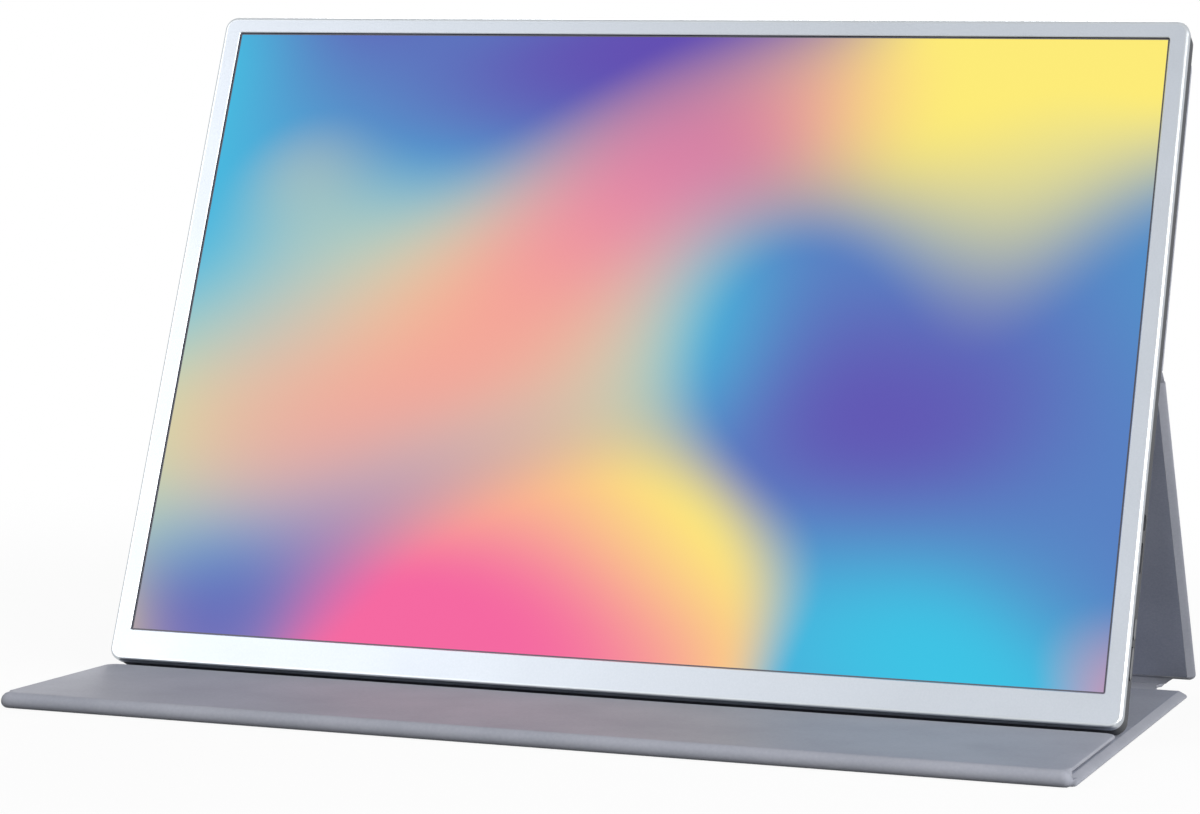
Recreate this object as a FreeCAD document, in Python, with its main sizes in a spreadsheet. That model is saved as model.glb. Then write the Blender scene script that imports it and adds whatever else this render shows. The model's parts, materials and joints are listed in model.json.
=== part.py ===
"""Portable monitor that leans in its folding cover.

The back plate of the cover is glued to the monitor's upper back. A leg hangs from the plate and props the
monitor from behind, a soft spine strip joins the leg to the base, and the base runs forward under the
monitor to a lip that is folded back over it and stops the monitor's bottom edge.

World frame: X to the viewer's right, Y away from the viewer, Z up, origin under the middle of the base.
Monitor frame: X right, Y depth behind the front face, Z height above the bottom edge, leaning by the tilt.
Panel frame: X across, Y from the panel's near edge to its far edge, Z from the leather to the lining.
"""
import FreeCAD
import Part
import Sketcher
import math
import os
import re

SIZES = {
    # Picture and front frame
    "active_width": 296.1,
    "active_height": 196.2,
    "border": 0.8,
    "bezel_side": 6.4,
    "bezel_top": 6.1,
    "bezel_bottom": 10.5,
    "frame_corner": 4.0,
    "window_corner": 0.6,
    "frame_depth": 3.2,
    "face_thickness": 0.8,
    "frame_wall": 1.3,
    "frame_bevel": 1.0,
    # Rear shell
    "shell_depth": 7.4,
    "shell_wall": 1.0,
    "shell_inset": 0.2,
    "shell_round": 1.5,
    "rib_thickness": 1.2,
    "rib_spacing": 62.0,
    "rib_margin": 8.0,
    "cut_overrun": 0.4,
    # Display stack, from the front backwards
    "film_gap": 0.1,
    "tape_width": 2.0,
    "tape_thickness": 0.2,
    "glass_gap": 0.3,
    "glass_thickness": 0.8,
    "diffuser_thickness": 0.4,
    "guide_thickness": 0.5,
    "reflector_thickness": 0.15,
    "tray_thickness": 0.35,
    "tray_wall": 0.4,
    "tray_gap": 0.15,
    "led_height": 1.6,
    # Boards and cables
    "circuit_thickness": 0.8,
    "driver_width": 240.0,
    "driver_height": 12.0,
    "driver_low": 8.0,
    "controller_width": 56.0,
    "board_margin": 2.0,
    "post_room": 10.0,
    "left_board_width": 30.0,
    "chip_side": 13.0,
    "chip_thickness": 1.0,
    "chip_spacing": 18.0,
    "cable_thickness": 0.2,
    "cable_width": 12.0,
    "cable_overlap": 6.0,
    # Sockets and keys in the side walls
    "port_depth": 5.5,
    "usb_width": 9.0,
    "usb_thickness": 3.2,
    "usb_reach": 7.4,
    "hdmi_width": 11.2,
    "socket_wall": 0.3,
    "socket_floor": 1.0,
    "tongue_thickness": 0.7,
    "socket_fit": 0.1,
    "jack_width": 6.0,
    "jack_thickness": 4.4,
    "jack_reach": 12.0,
    "jack_bore": 3.56,
    "jack_floor": 1.5,
    "jack_hole": 4.8,
    "rocker_height": 20.0,
    "rocker_length": 9.0,
    "power_length": 6.0,
    "key_width": 2.6,
    "key_proud": 0.3,
    "key_fit": 0.12,
    "rocker_fit": 0.5,
    "key_travel": 0.5,
    "flange_margin": 0.8,
    "flange_thickness": 0.6,
    "flange_gap": 0.05,
    "switch_gap": 0.2,
    "switch_reach": 1.6,
    "switch_width": 2.4,
    "switch_thickness": 2.2,
    "pin_radius": 0.5,
    "pin_fit": 0.05,
    "hub_wall": 0.55,
    "pin_boss_wall": 0.7,
    "rocker_to_power": 2.5,
    "power_to_usb": 13.0,
    "usb_to_jack": 3.0,
    "hdmi_to_usb": 5.0,
    # Screws and posts
    "screw_radius": 0.6,
    "screw_head_radius": 1.6,
    "screw_head": 0.6,
    "screw_fit": 0.1,
    "screw_bite": 1.2,
    "post_radius": 2.0,
    "post_inset": 4.0,
    # Speakers
    "speaker_length": 52.0,
    "speaker_height": 12.0,
    "speaker_thickness": 3.2,
    "speaker_margin": 6.0,
    "speaker_lift": 8.0,
    "grille_slot": 1.2,
    "grille_height": 7.0,
    "grille_run": 40.0,
    "grille_count": 15,
    # Leather panels of the cover
    "skin_thickness": 0.5,
    "board_thickness": 1.2,
    "lining_thickness": 0.5,
    "rim_width": 2.4,
    "groove": 0.3,
    "board_fit": 0.1,
    "pocket_corner": 0.6,
    "edge_round": 0.5,
    "panel_corner": 2.5,
    "hinge_corner": 1.0,
    "front_corner": 0.8,
    "plate_corner": 8.0,
    "lip_corner": 4.0,
    "plate_inset": 2.6,
    "plate_side": 0.5,
    "adhesive_thickness": 0.4,
    "adhesive_margin": 6.0,
    "base_margin": 0.3,
    "lip_side": 1.3,
    "lip_reach": 66.0,
    "lip_clearance": 0.5,
    "lip_gap": 0.3,
    "rest_gap": 0.4,
    # Folds
    "tilt": 21.7,
    "hinge_height": 106.5,
    "leg_lean": 37.6,
    "spine_reach": 14.0,
    "spine_rise": 2.0,
    "spine_thickness": 1.2,
    "spine_inset": 9.5,
    "roll_inset": 1.0,
    "fold_gap": 0.4,
    "heel_relief": 0.5,
    "web_thickness": 0.8,
    # Magnets in the base and the lip
    "magnet_length": 40.0,
    "magnet_width": 6.0,
    "magnet_spacing": 90.0,
    "magnet_edge": 10.0,
}

# Corner radius of a slot as a share of its width, a little under the half circle
SLOT_ROUND_SHARE = 0.48

LAYOUT = {
    # Outside of the monitor
    "frame_width": "active_width + 2 * bezel_side",
    "frame_height": "active_height + bezel_bottom + bezel_top",
    "monitor_depth": "frame_depth + shell_depth",
    "cavity_width": "frame_width - 2 * frame_wall",
    "window_width": "active_width + 2 * border",
    "window_height": "active_height + 2 * border",
    "shell_width": "frame_width - 2 * shell_inset",
    "shell_height": "frame_height - 2 * shell_inset",
    "shell_corner": "frame_corner - shell_inset",
    "shell_half": "shell_width / 2",
    "shell_inside": "shell_half - shell_wall",
    "shell_floor": "monitor_depth - shell_wall",
    # Display stack
    "glass_inset": "glass_gap + (frame_corner - frame_wall) * (1 - cos(45))",
    "glass_width": "cavity_width - 2 * glass_inset",
    "glass_low": "frame_wall + glass_inset",
    "glass_height": "frame_height - 2 * glass_low",
    "glass_front": "face_thickness + tape_thickness",
    "diffuser_front": "glass_front + glass_thickness",
    "guide_front": "diffuser_front + diffuser_thickness",
    "reflector_front": "guide_front + guide_thickness",
    "tray_front": "reflector_front + reflector_thickness",
    "tray_back": "tray_front + tray_thickness",
    "light_inset": "tray_wall + tray_gap",
    "light_width": "glass_width - 2 * light_inset",
    "light_low": "glass_low + light_inset",
    "light_height": "glass_height - 2 * light_inset",
    "guide_low": "light_low + led_height + tray_gap",
    # Places along the side walls
    "power_height": "rocker_height + rocker_length / 2 + rocker_to_power + power_length / 2",
    "usb_height": "power_height + power_length / 2 + power_to_usb + usb_width / 2",
    "jack_height": "usb_height + usb_width / 2 + usb_to_jack + jack_width / 2",
    "hdmi_height": "usb_height",
    "left_usb_height": "hdmi_height + hdmi_width / 2 + hdmi_to_usb + usb_width / 2",
    # Boards
    "circuit_front": "port_depth - circuit_thickness / 2",
    "circuit_back": "port_depth + circuit_thickness / 2",
    "key_inner": "shell_inside - flange_gap - flange_thickness - key_travel - switch_gap",
    "switch_face": "key_inner - key_travel - switch_gap",
    "board_edge": "switch_face - switch_reach",
    "board_low": "rocker_height - rocker_length / 2 - board_margin",
    "board_high": "jack_height + jack_width / 2 + post_room",
    "left_board_low": "hdmi_height - hdmi_width / 2 - post_room",
    "left_board_high": "left_usb_height + usb_width / 2 + post_room",
    "controller_left": "board_edge - controller_width",
    "left_board_edge": "shell_inside - usb_reach - socket_fit",
    "pin_offset": "key_inner + pin_radius",
    "speaker_low": "board_high + speaker_lift",
    "speaker_middle": "shell_inside - speaker_margin - speaker_length / 2",
    "rib_low": "speaker_low + speaker_height + rib_margin",
    "rib_height": "frame_height - rib_margin - rib_low",
    # Panels and folds of the cover
    "panel_thickness": "skin_thickness + board_thickness + lining_thickness",
    "bead_radius": "panel_thickness / 2",
    "panel_start": "bead_radius + fold_gap",
    "roll_radius": "panel_thickness + lip_gap / 2",
    "roll_start": "roll_radius + fold_gap",
    "lip_top": "2 * roll_radius",
    "foot_z": "panel_thickness + rest_gap + shell_round + (monitor_depth - shell_round) * sin(tilt)"
              " - (shell_inset + shell_round) * cos(tilt)",
    "hinge_depth": "monitor_depth + adhesive_thickness + bead_radius",
    "hinge_z": "foot_z + hinge_height * cos(tilt) - hinge_depth * sin(tilt)",
    "heel_z": "bead_radius + spine_reach * sin(spine_rise)",
    "leg_reach": "(hinge_z - heel_z) / cos(leg_lean)",
    "hinge_run": "hinge_height * sin(tilt) + hinge_depth * cos(tilt)",
    "heel_run": "hinge_run + leg_reach * sin(leg_lean)",
    "rear_run": "heel_run - spine_reach * cos(spine_rise)",
    "front_run": "-lip_clearance - lip_reach",
    "base_length": "rear_run - panel_start - front_run - roll_start",
    "foot_y": "-(front_run + roll_start + base_length / 2)",
    "hinge_y": "foot_y + hinge_run",
    "heel_y": "foot_y + heel_run",
    "rear_y": "foot_y + rear_run",
    "front_y": "foot_y + front_run",
    "base_width": "frame_width + 2 * base_margin",
    "roll_width": "base_width - 2 * roll_inset",
    "lip_width": "base_width - 2 * lip_side",
    "lip_length": "lip_reach - roll_start",
    "plate_width": "frame_width - 2 * plate_side",
    "plate_length": "frame_height - plate_inset - hinge_height - panel_start",
    "leg_length": "leg_reach - 2 * panel_start - heel_relief",
    "spine_width": "base_width - 2 * spine_inset",
}

SAME_PLANE = 0.001

doc = FreeCAD.newDocument("portable_monitor")
nodes = []


def named(formula, *tables):
    """Put the sheet's name before each of its aliases in a formula."""
    homes = {alias: home for home, table in tables for alias in table}

    def home_of(word):
        alias = word.group()
        return f"{homes[alias]}.{alias}" if alias in homes else alias

    return re.sub(r"[a-z]\w*", home_of, formula)


def fill_sheet(name, cells):
    """Write one row for each size: its name, and its value under that name."""
    sheet = doc.addObject("Spreadsheet::Sheet", name)
    for row, (alias, content) in enumerate(cells.items(), start=1):
        sheet.set(f"A{row}", alias)
        sheet.set(f"B{row}", content)
        sheet.setAlias(f"B{row}", alias)
    return sheet


fill_sheet("sizes", {alias: str(number) for alias, number in SIZES.items()})
layout = fill_sheet("layout", {alias: "=" + named(formula, ("sizes", SIZES)) for alias, formula in LAYOUT.items()})
doc.recompute()


def whole(formula):
    return named(formula, ("sizes", SIZES), ("layout", LAYOUT))


def value(formula):
    """The present value of a formula, as a plain number."""
    return float(layout.evalExpression(whole(formula)))


def bind(thing, member, formula):
    thing.setExpression(member, whole(formula))


# Frames that the pieces are placed in

STRAIGHT = "rotation(vector(1; 0; 0); 0)"
OVER = "rotation(vector(0; 1; 0); 180)"
ABOUT = "rotation(vector(0; 0; 1); 180)"
ALONG_X = "rotation(vector(0; 1; 0); 90)"
ALONG_Y = "rotation(vector(1; 0; 0); -90)"
UPRIGHT = "rotation(vector(1; 0; 0); 90)"


def frame(x="0", y="0", z="0", turn=STRAIGHT):
    return f"placement(vector({x}; {y}; {z}); {turn})"


MONITOR = frame(y="foot_y", z="foot_z", turn="rotation(vector(1; 0; 0); -tilt)")
PLATE_FOLD = MONITOR + " * " + frame(y="hinge_depth", z="hinge_height", turn=UPRIGHT)
LEG = frame(y="hinge_y", z="hinge_z", turn="rotation(vector(1; 0; 0); leg_lean - 90)") + " * " + frame(turn=OVER)
SPINE = frame(y="rear_y", z="bead_radius", turn="rotation(vector(1; 0; 0); spine_rise)")
BASE = frame(y="front_y")
LIP = frame(y="front_y", z="lip_top", turn=OVER)


def seat(thing, home, x="0", y="0", z="0", turn=STRAIGHT):
    """Place a piece in one of the frames."""
    bind(thing, "Placement", home + " * " + frame(x, y, z, turn))


# Plain solids

def block(name, home, across, deep, high, x="0", y="0", z="0"):
    """A box, centred across X, with its least depth and height at y and z."""
    piece = doc.addObject("Part::Box", name)
    bind(piece, "Length", across)
    bind(piece, "Width", deep)
    bind(piece, "Height", high)
    seat(piece, home, f"{x} - ({across}) / 2", y, z)
    return piece


def rod(name, home, radius, length, x="0", y="0", z="0", turn=STRAIGHT):
    piece = doc.addObject("Part::Cylinder", name)
    bind(piece, "Radius", radius)
    bind(piece, "Height", length)
    seat(piece, home, x, y, z, turn)
    return piece


def cross_rod(name, home, radius, length, y="0", z="0"):
    """A rod along X, centred across the object."""
    return rod(name, home, radius, length, f"-({length}) / 2", y, z, ALONG_X)


def fused(name, pieces):
    piece = doc.addObject("Part::MultiFuse", name)
    piece.Shapes = pieces
    return piece


def cut(name, solid, tool):
    piece = doc.addObject("Part::Cut", name)
    piece.Base = solid
    piece.Tool = tool
    return piece


def group(name, pieces):
    """Identical loose pieces that are kept together."""
    piece = doc.addObject("Part::Compound", name)
    piece.Links = pieces
    return piece


def node(piece):
    nodes.append(piece)
    return piece


# Bodies made of sketched features

def new_body(name, home, x="0", y="0", z="0", turn=STRAIGHT):
    body = doc.addObject("PartDesign::Body", name)
    seat(body, home, x, y, z, turn)
    return body


def attach(body, thing, plane, across, up, level):
    """Set a feature on one of its body's planes; a level on the upright plane is a depth."""
    support = next(item for item in body.Origin.OriginFeatures if item.Role == plane)
    thing.AttachmentSupport = (support, "")
    thing.MapMode = "FlatFace"
    bind(thing, "AttachmentOffset.Base.x", across)
    bind(thing, "AttachmentOffset.Base.y", up)
    bind(thing, "AttachmentOffset.Base.z", f"-({level})" if plane == "XZ_Plane" else level)


def outline(body, name, plane, width, height, near, far=None, across="0", up="0", level="0"):
    """A rectangle with rounded corners, centred across, with its near edge at `up`."""
    sketch = body.newObject("Sketcher::SketchObject", name)
    attach(body, sketch, plane, across, up, level)
    far = far or near
    half = value(width) / 2
    top = value(height)
    low_round = value(near)
    high_round = value(far)
    corners = (
        (half - low_round, low_round, low_round, -90),
        (half - high_round, top - high_round, high_round, 0),
        (high_round - half, top - high_round, high_round, 90),
        (low_round - half, low_round, low_round, 180),
    )
    arcs = []
    for x, y, radius, start in corners:
        circle = Part.Circle(FreeCAD.Vector(x, y), FreeCAD.Vector(0, 0, 1), radius)
        arcs.append(Part.ArcOfCircle(circle, math.radians(start), math.radians(start + 90)))
    sides = []
    for before, after in zip((arcs[3], *arcs[:3]), arcs):
        sides.append(Part.LineSegment(before.EndPoint, after.StartPoint))
    sketch.addGeometry(sides + arcs)
    for side in range(4):
        sketch.addConstraint(Sketcher.Constraint("Tangent", side, 2, side + 4, 1))
        sketch.addConstraint(Sketcher.Constraint("Tangent", side + 4, 2, (side + 1) % 4, 1))
    sketch.addConstraint([
        Sketcher.Constraint("Vertical", 1),
        Sketcher.Constraint("Horizontal", 2),
        Sketcher.Constraint("Vertical", 3),
        Sketcher.Constraint("Equal", 4, 7),
        Sketcher.Constraint("Equal", 5, 6),
        Sketcher.Constraint("Symmetric", 0, 1, 0, 2, -2),
        Sketcher.Constraint("PointOnObject", 0, 1, -1),
    ])
    measures = (
        ("Near", near, Sketcher.Constraint("Radius", 4, low_round)),
        ("Far", far, Sketcher.Constraint("Radius", 5, high_round)),
        ("Width", width, Sketcher.Constraint("DistanceX", 3, 1, 1, 1, 2 * half)),
        ("Height", height, Sketcher.Constraint("DistanceY", 0, 1, 2, 1, top)),
    )
    for label, formula, constraint in measures:
        index = sketch.addConstraint(constraint)
        sketch.renameConstraint(index, label)
        bind(sketch, f"Constraints.{label}", formula)
    return sketch


def pad(body, profile, length, reverse=False):
    feature = body.newObject("PartDesign::Pad", profile.Name + "_pad")
    feature.Profile = profile
    feature.Reversed = reverse
    bind(feature, "Length", length)
    return feature


def pocket(body, profile, depth, reverse=False):
    feature = body.newObject("PartDesign::Pocket", profile.Name + "_pocket")
    feature.Profile = profile
    feature.Reversed = reverse
    bind(feature, "Length", depth)
    return feature


def round_feature(body, kind, name, plane, radius, length, across, up, level):
    """A round boss or hole that points from its plane along the plane's own normal."""
    feature = body.newObject(f"PartDesign::{kind}Cylinder", name)
    attach(body, feature, plane, across, up, level)
    bind(feature, "Radius", radius)
    bind(feature, "Height", length)
    return feature


def ease(body, kind, member, size, base, axis, level):
    """Round or bevel the edges of a feature that lie in one plane across an axis."""
    doc.recompute()
    edges = []
    for number, edge in enumerate(base.Shape.Edges, start=1):
        box = edge.BoundBox
        spread = max(abs(getattr(box, axis + end) - level) for end in ("Min", "Max"))
        if spread < SAME_PLANE:
            edges.append(f"Edge{number}")
    feature = body.newObject(f"PartDesign::{kind}", base.Name + "_" + kind.lower())
    feature.Base = (base, edges)
    bind(feature, member, size)
    return feature


def slot_round(width):
    return f"{SLOT_ROUND_SHARE} * ({width})"


# Front frame and the display stack behind it

def front_frame():
    """A tray-shaped metal frame with a bevelled front edge and the picture's window."""
    body = new_body("front_frame", MONITOR)
    outer = outline(body, "frame_outline", "XZ_Plane", "frame_width", "frame_height", "frame_corner")
    ring = pad(body, outer, "frame_depth", reverse=True)
    ease(body, "Chamfer", "Size", "frame_bevel", ring, "Y", 0)
    hollow = outline(body, "frame_hollow", "XZ_Plane", "cavity_width", "frame_height - 2 * frame_wall",
                     "frame_corner - frame_wall", up="frame_wall", level="face_thickness")
    pocket(body, hollow, "frame_depth - face_thickness")
    window = outline(body, "frame_window", "XZ_Plane", "window_width", "window_height", "window_corner",
                     up="bezel_bottom - border")
    pocket(body, window, "face_thickness")
    return body


def foam_tape():
    """A ring of foam that holds the glass to the inside of the frame."""
    outer = block("tape_outer", MONITOR, "glass_width", "tape_thickness", "glass_height",
                  y="face_thickness", z="glass_low")
    inner = block("tape_inner", MONITOR, "glass_width - 2 * tape_width", "tape_thickness",
                  "glass_height - 2 * tape_width", y="face_thickness", z="glass_low + tape_width")
    return cut("foam_tape", outer, inner)


def screen_film():
    """The dark film on the glass that shows in the window."""
    return block("screen_film", MONITOR, "window_width - 2 * film_gap", "tape_thickness",
                 "window_height - 2 * film_gap", y="face_thickness", z="bezel_bottom - border + film_gap")


def backlight_tray():
    """A shallow metal pan that holds the lighting layers against the glass."""
    outer = block("tray_outer", MONITOR, "glass_width", "tray_back - diffuser_front", "glass_height",
                  y="diffuser_front", z="glass_low")
    inner = block("tray_inner", MONITOR, "glass_width - 2 * tray_wall", "tray_front - diffuser_front",
                  "glass_height - 2 * tray_wall", y="diffuser_front", z="glass_low + tray_wall")
    return cut("backlight_tray", outer, inner)


def display_stack():
    node(block("lcd_glass", MONITOR, "glass_width", "glass_thickness", "glass_height",
               y="glass_front", z="glass_low"))
    node(block("diffuser_films", MONITOR, "light_width", "diffuser_thickness", "light_height",
               y="diffuser_front", z="light_low"))
    node(block("light_guide", MONITOR, "light_width", "guide_thickness", "light_low + light_height - guide_low",
               y="guide_front", z="guide_low"))
    node(block("led_strip", MONITOR, "light_width", "guide_thickness", "led_height",
               y="guide_front", z="light_low"))
    node(block("reflector_sheet", MONITOR, "light_width", "reflector_thickness", "light_height",
               y="reflector_front", z="light_low"))
    node(backlight_tray())


# Boards, cables and what is soldered to them

def socket_notch(name, side, width, reach, height):
    """The cut in a board's edge that a socket sits in."""
    return block(name, MONITOR, f"{reach} + socket_fit", "circuit_thickness", f"{width} + 2 * socket_fit",
                 x=f"{side} * (shell_inside - ({reach} + socket_fit) / 2)", y="circuit_front",
                 z=f"{height} - {width} / 2 - socket_fit")


def screw_places():
    """The screws' places: the controller board's four corners and the left board's inner edge."""
    inner = "controller_left + post_inset"
    outer = "board_edge - post_inset"
    left = "left_board_width - left_board_edge - post_inset"
    return (
        (inner, "board_low + post_inset"),
        (inner, "board_high - post_inset"),
        (outer, "board_low + post_inset"),
        (outer, "board_high - post_inset"),
        (left, "left_board_low + post_inset"),
        (left, "left_board_high - post_inset"),
    )


def screw_holes():
    holes = []
    for x, z in screw_places():
        holes.append(rod("screw_hole", MONITOR, "screw_radius + screw_fit", "circuit_thickness",
                         x, "circuit_front", z, ALONG_Y))
    return holes


def board_screws():
    screws = []
    for x, z in screw_places():
        head = rod("screw_head_part", MONITOR, "screw_head_radius", "screw_head",
                   x, "circuit_front - screw_head", z, ALONG_Y)
        shank = rod("screw_shank", MONITOR, "screw_radius", "circuit_thickness + screw_bite",
                    x, "circuit_front", z, ALONG_Y)
        screws.append(fused("board_screw", [head, shank]))
    return group("board_screws", screws)


def controller_board(holes):
    plain = block("controller_plain", MONITOR, "controller_width", "circuit_thickness", "board_high - board_low",
                  x="board_edge - controller_width / 2", y="circuit_front", z="board_low")
    notches = [
        socket_notch("usb_notch", "1", "usb_width", "usb_reach", "usb_height"),
        socket_notch("jack_notch", "1", "jack_width", "jack_reach", "jack_height"),
    ]
    return cut("controller_board", plain, fused("controller_cuts", notches + holes))


def port_board(holes):
    plain = block("port_plain", MONITOR, "left_board_width", "circuit_thickness",
                  "left_board_high - left_board_low", x="left_board_width / 2 - left_board_edge",
                  y="circuit_front", z="left_board_low")
    return cut("port_board", plain, fused("port_cuts", holes))


def controller_chips():
    chips = []
    for step in (-1, 1):
        chips.append(block("chip", MONITOR, "chip_side", "chip_thickness", "chip_side",
                           x="controller_left + controller_width / 2", y="circuit_front - chip_thickness",
                           z=f"(board_low + board_high - chip_side + {step} * chip_spacing) / 2"))
    return group("controller_chips", chips)


def display_cable():
    """A flat cable that steps from the driver board's back to the controller board's front."""
    x = "controller_left + 2 * post_inset + cable_width / 2"
    bend = "driver_low + driver_height - cable_overlap"
    upper = block("cable_upper", MONITOR, "cable_width", "cable_thickness", "2 * cable_overlap",
                  x=x, y="circuit_front - cable_thickness", z=bend)
    riser = block("cable_riser", MONITOR, "cable_width", "circuit_front - tray_back - circuit_thickness",
                  "cable_thickness", x=x, y="tray_back + circuit_thickness", z=bend)
    lower = block("cable_lower", MONITOR, "cable_width", "cable_thickness", "cable_overlap / 2",
                  x=x, y="tray_back + circuit_thickness", z=f"{bend} - cable_overlap / 2 + cable_thickness")
    return fused("display_cable", [upper, riser, lower])


def port_cable():
    """A flat cable across the back that joins the left board to the controller board."""
    left = "left_board_width - left_board_edge - cable_overlap"
    right = "controller_left + cable_overlap"
    return block("port_cable", MONITOR, f"{right} - ({left})", "cable_thickness", "cable_width",
                 x=f"({right} + ({left})) / 2", y="circuit_front - cable_thickness",
                 z="(hdmi_height + left_usb_height - cable_width) / 2")


def switches():
    places = (
        "power_height",
        "rocker_height - rocker_length / 2 + switch_width / 2",
        "rocker_height + rocker_length / 2 - switch_width / 2",
    )
    pieces = []
    for place in places:
        pieces.append(block("switch", MONITOR, "switch_reach", "switch_thickness", "switch_width",
                            x="board_edge + switch_reach / 2", y="port_depth - switch_thickness / 2",
                            z=f"{place} - switch_width / 2"))
    return group("push_switches", pieces)


def flat_socket(name, side, width, height):
    """A metal socket with an open mouth at the side wall and a contact tongue inside."""
    turn = STRAIGHT if side == "1" else ABOUT
    body = new_body(name, MONITOR, f"{side} * (shell_inside - usb_reach)", "port_depth", height, turn)
    outer = outline(body, name + "_outer", "YZ_Plane", "usb_thickness", width, slot_round("usb_thickness"),
                    up=f"-{width} / 2")
    pad(body, outer, "usb_reach")
    mouth_width = "usb_thickness - 2 * socket_wall"
    mouth = outline(body, name + "_mouth", "YZ_Plane", mouth_width, f"{width} - 2 * socket_wall",
                    slot_round(mouth_width), up=f"socket_wall - {width} / 2", level="usb_reach")
    pocket(body, mouth, "usb_reach - socket_floor")
    tongue_width = f"{width} - 2 * usb_thickness / 3 - 2 * socket_wall"
    tongue = outline(body, name + "_tongue", "YZ_Plane", "tongue_thickness", tongue_width,
                     slot_round("tongue_thickness"), up=f"-({tongue_width}) / 2", level="socket_floor")
    pad(body, tongue, "usb_reach - 2 * socket_floor")
    return body


def audio_jack():
    """A block with the plug's bore, open towards the side wall."""
    body = new_body("audio_jack", MONITOR, "shell_inside - jack_reach", "port_depth", "jack_height")
    outer = outline(body, "jack_outer", "YZ_Plane", "jack_thickness", "jack_width", "socket_wall",
                    up="-jack_width / 2")
    pad(body, outer, "jack_reach")
    round_feature(body, "Subtractive", "jack_bore_hole", "YZ_Plane", "jack_bore / 2", "jack_reach - jack_floor",
                  "0", "0", "jack_floor")
    return body


def speaker(name, side):
    """A flat sound box that fires through the slots in the rear shell."""
    body = new_body(name, MONITOR, f"{side} * speaker_middle", "shell_floor", "speaker_low")
    shape = outline(body, name + "_outline", "XZ_Plane", "speaker_length", "speaker_height",
                    slot_round("speaker_height"))
    pad(body, shape, "speaker_thickness")
    return body


# Keys in the right wall

def power_button():
    """A key with a flange that keeps it in the wall and a stem that reaches its switch."""
    body = new_body("power_button", MONITOR, "key_inner", "port_depth", "power_height")
    key = outline(body, "power_key", "YZ_Plane", "key_width", "power_length", slot_round("key_width"),
                  up="-power_length / 2")
    pad(body, key, "shell_half + key_proud - key_inner")
    flange_length = "power_length + 2 * flange_margin"
    flange_width = "key_width + 2 * flange_margin"
    flange = outline(body, "power_flange", "YZ_Plane", flange_width, flange_length, slot_round(flange_width),
                     up=f"-({flange_length}) / 2", level="shell_inside - flange_gap - flange_thickness - key_inner")
    pad(body, flange, "flange_thickness")
    return body


def menu_rocker():
    """A key that rocks on a pin through the hub at its middle."""
    body = new_body("menu_rocker", MONITOR, "key_inner", "port_depth", "rocker_height")
    key = outline(body, "rocker_key", "YZ_Plane", "key_width", "rocker_length", slot_round("key_width"),
                  up="-rocker_length / 2")
    pad(body, key, "shell_half + key_proud - key_inner")
    across = "pin_offset - key_inner"
    round_feature(body, "Additive", "rocker_hub", "XZ_Plane", "pin_radius + pin_fit + hub_wall", "key_width",
                  across, "0", "key_width / 2")
    round_feature(body, "Subtractive", "rocker_bore", "XZ_Plane", "pin_radius + pin_fit",
                  "key_width + 2 * cut_overrun", across, "0", "key_width / 2 + cut_overrun")
    return body


def rocker_pin():
    front = "port_depth - key_width / 2 - cut_overrun"
    return rod("rocker_pin", MONITOR, "pin_radius", f"shell_floor - ({front})", "pin_offset", front,
               "rocker_height", ALONG_Y)


# Rear shell

def rear_cover():
    """A moulded tray with a rounded back edge, side openings, posts, ribs and sound slots."""
    body = new_body("rear_cover", MONITOR)
    outer = outline(body, "shell_outline", "XZ_Plane", "shell_width", "shell_height", "shell_corner",
                    up="shell_inset", level="frame_depth")
    solid = pad(body, outer, "shell_depth", reverse=True)
    ease(body, "Fillet", "Radius", "shell_round", solid, "Y", value("monitor_depth"))
    hollow = outline(body, "shell_hollow", "XZ_Plane", "2 * shell_inside", "shell_height - 2 * shell_wall",
                     "shell_corner - shell_wall", up="shell_inset + shell_wall", level="frame_depth")
    pocket(body, hollow, "shell_depth - shell_wall")
    side_slot(body, "usb_right_slot", "1", "usb_thickness", "usb_width", "usb_height")
    side_slot(body, "usb_left_slot", "-1", "usb_thickness", "usb_width", "left_usb_height")
    side_slot(body, "hdmi_slot", "-1", "usb_thickness", "hdmi_width", "hdmi_height")
    side_slot(body, "power_slot", "1", "key_width + 2 * key_fit", "power_length + 2 * key_fit", "power_height")
    side_slot(body, "rocker_slot", "1", "key_width + 2 * key_fit", "rocker_length + 2 * rocker_fit",
              "rocker_height")
    round_feature(body, "Subtractive", "jack_opening", "YZ_Plane", "jack_hole / 2", "shell_wall + cut_overrun",
                  "port_depth", "jack_height", "shell_inside - cut_overrun")
    board_posts(body)
    pin_boss(body)
    support_ribs(body)
    sound_slots(body)
    return body


def side_slot(body, name, side, width, length, height):
    shape = outline(body, name, "YZ_Plane", width, length, slot_round(width), across="port_depth",
                    up=f"{height} - ({length}) / 2", level=f"{side} * shell_half")
    pocket(body, shape, "shell_wall + cut_overrun", reverse=side == "-1")


def board_posts(body):
    """Posts that carry the boards, each with a pilot hole for its screw."""
    for x, z in screw_places():
        round_feature(body, "Additive", "post", "XZ_Plane", "post_radius", "shell_floor - circuit_back", x, z,
                      "shell_floor")
        round_feature(body, "Subtractive", "pilot", "XZ_Plane", "screw_radius + pin_fit",
                      "screw_bite + cut_overrun", x, z, "circuit_back + screw_bite")


def pin_boss(body):
    """The boss on the shell's floor that holds the rocker's pin."""
    top = "port_depth + key_width / 2 + key_fit"
    round_feature(body, "Additive", "pin_boss", "XZ_Plane", "pin_radius + pin_boss_wall", f"shell_floor - ({top})",
                  "pin_offset", "rocker_height", "shell_floor")
    round_feature(body, "Subtractive", "pin_hole", "XZ_Plane", "pin_radius", f"shell_floor - ({top}) + cut_overrun",
                  "pin_offset", "rocker_height", "shell_floor")


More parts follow.
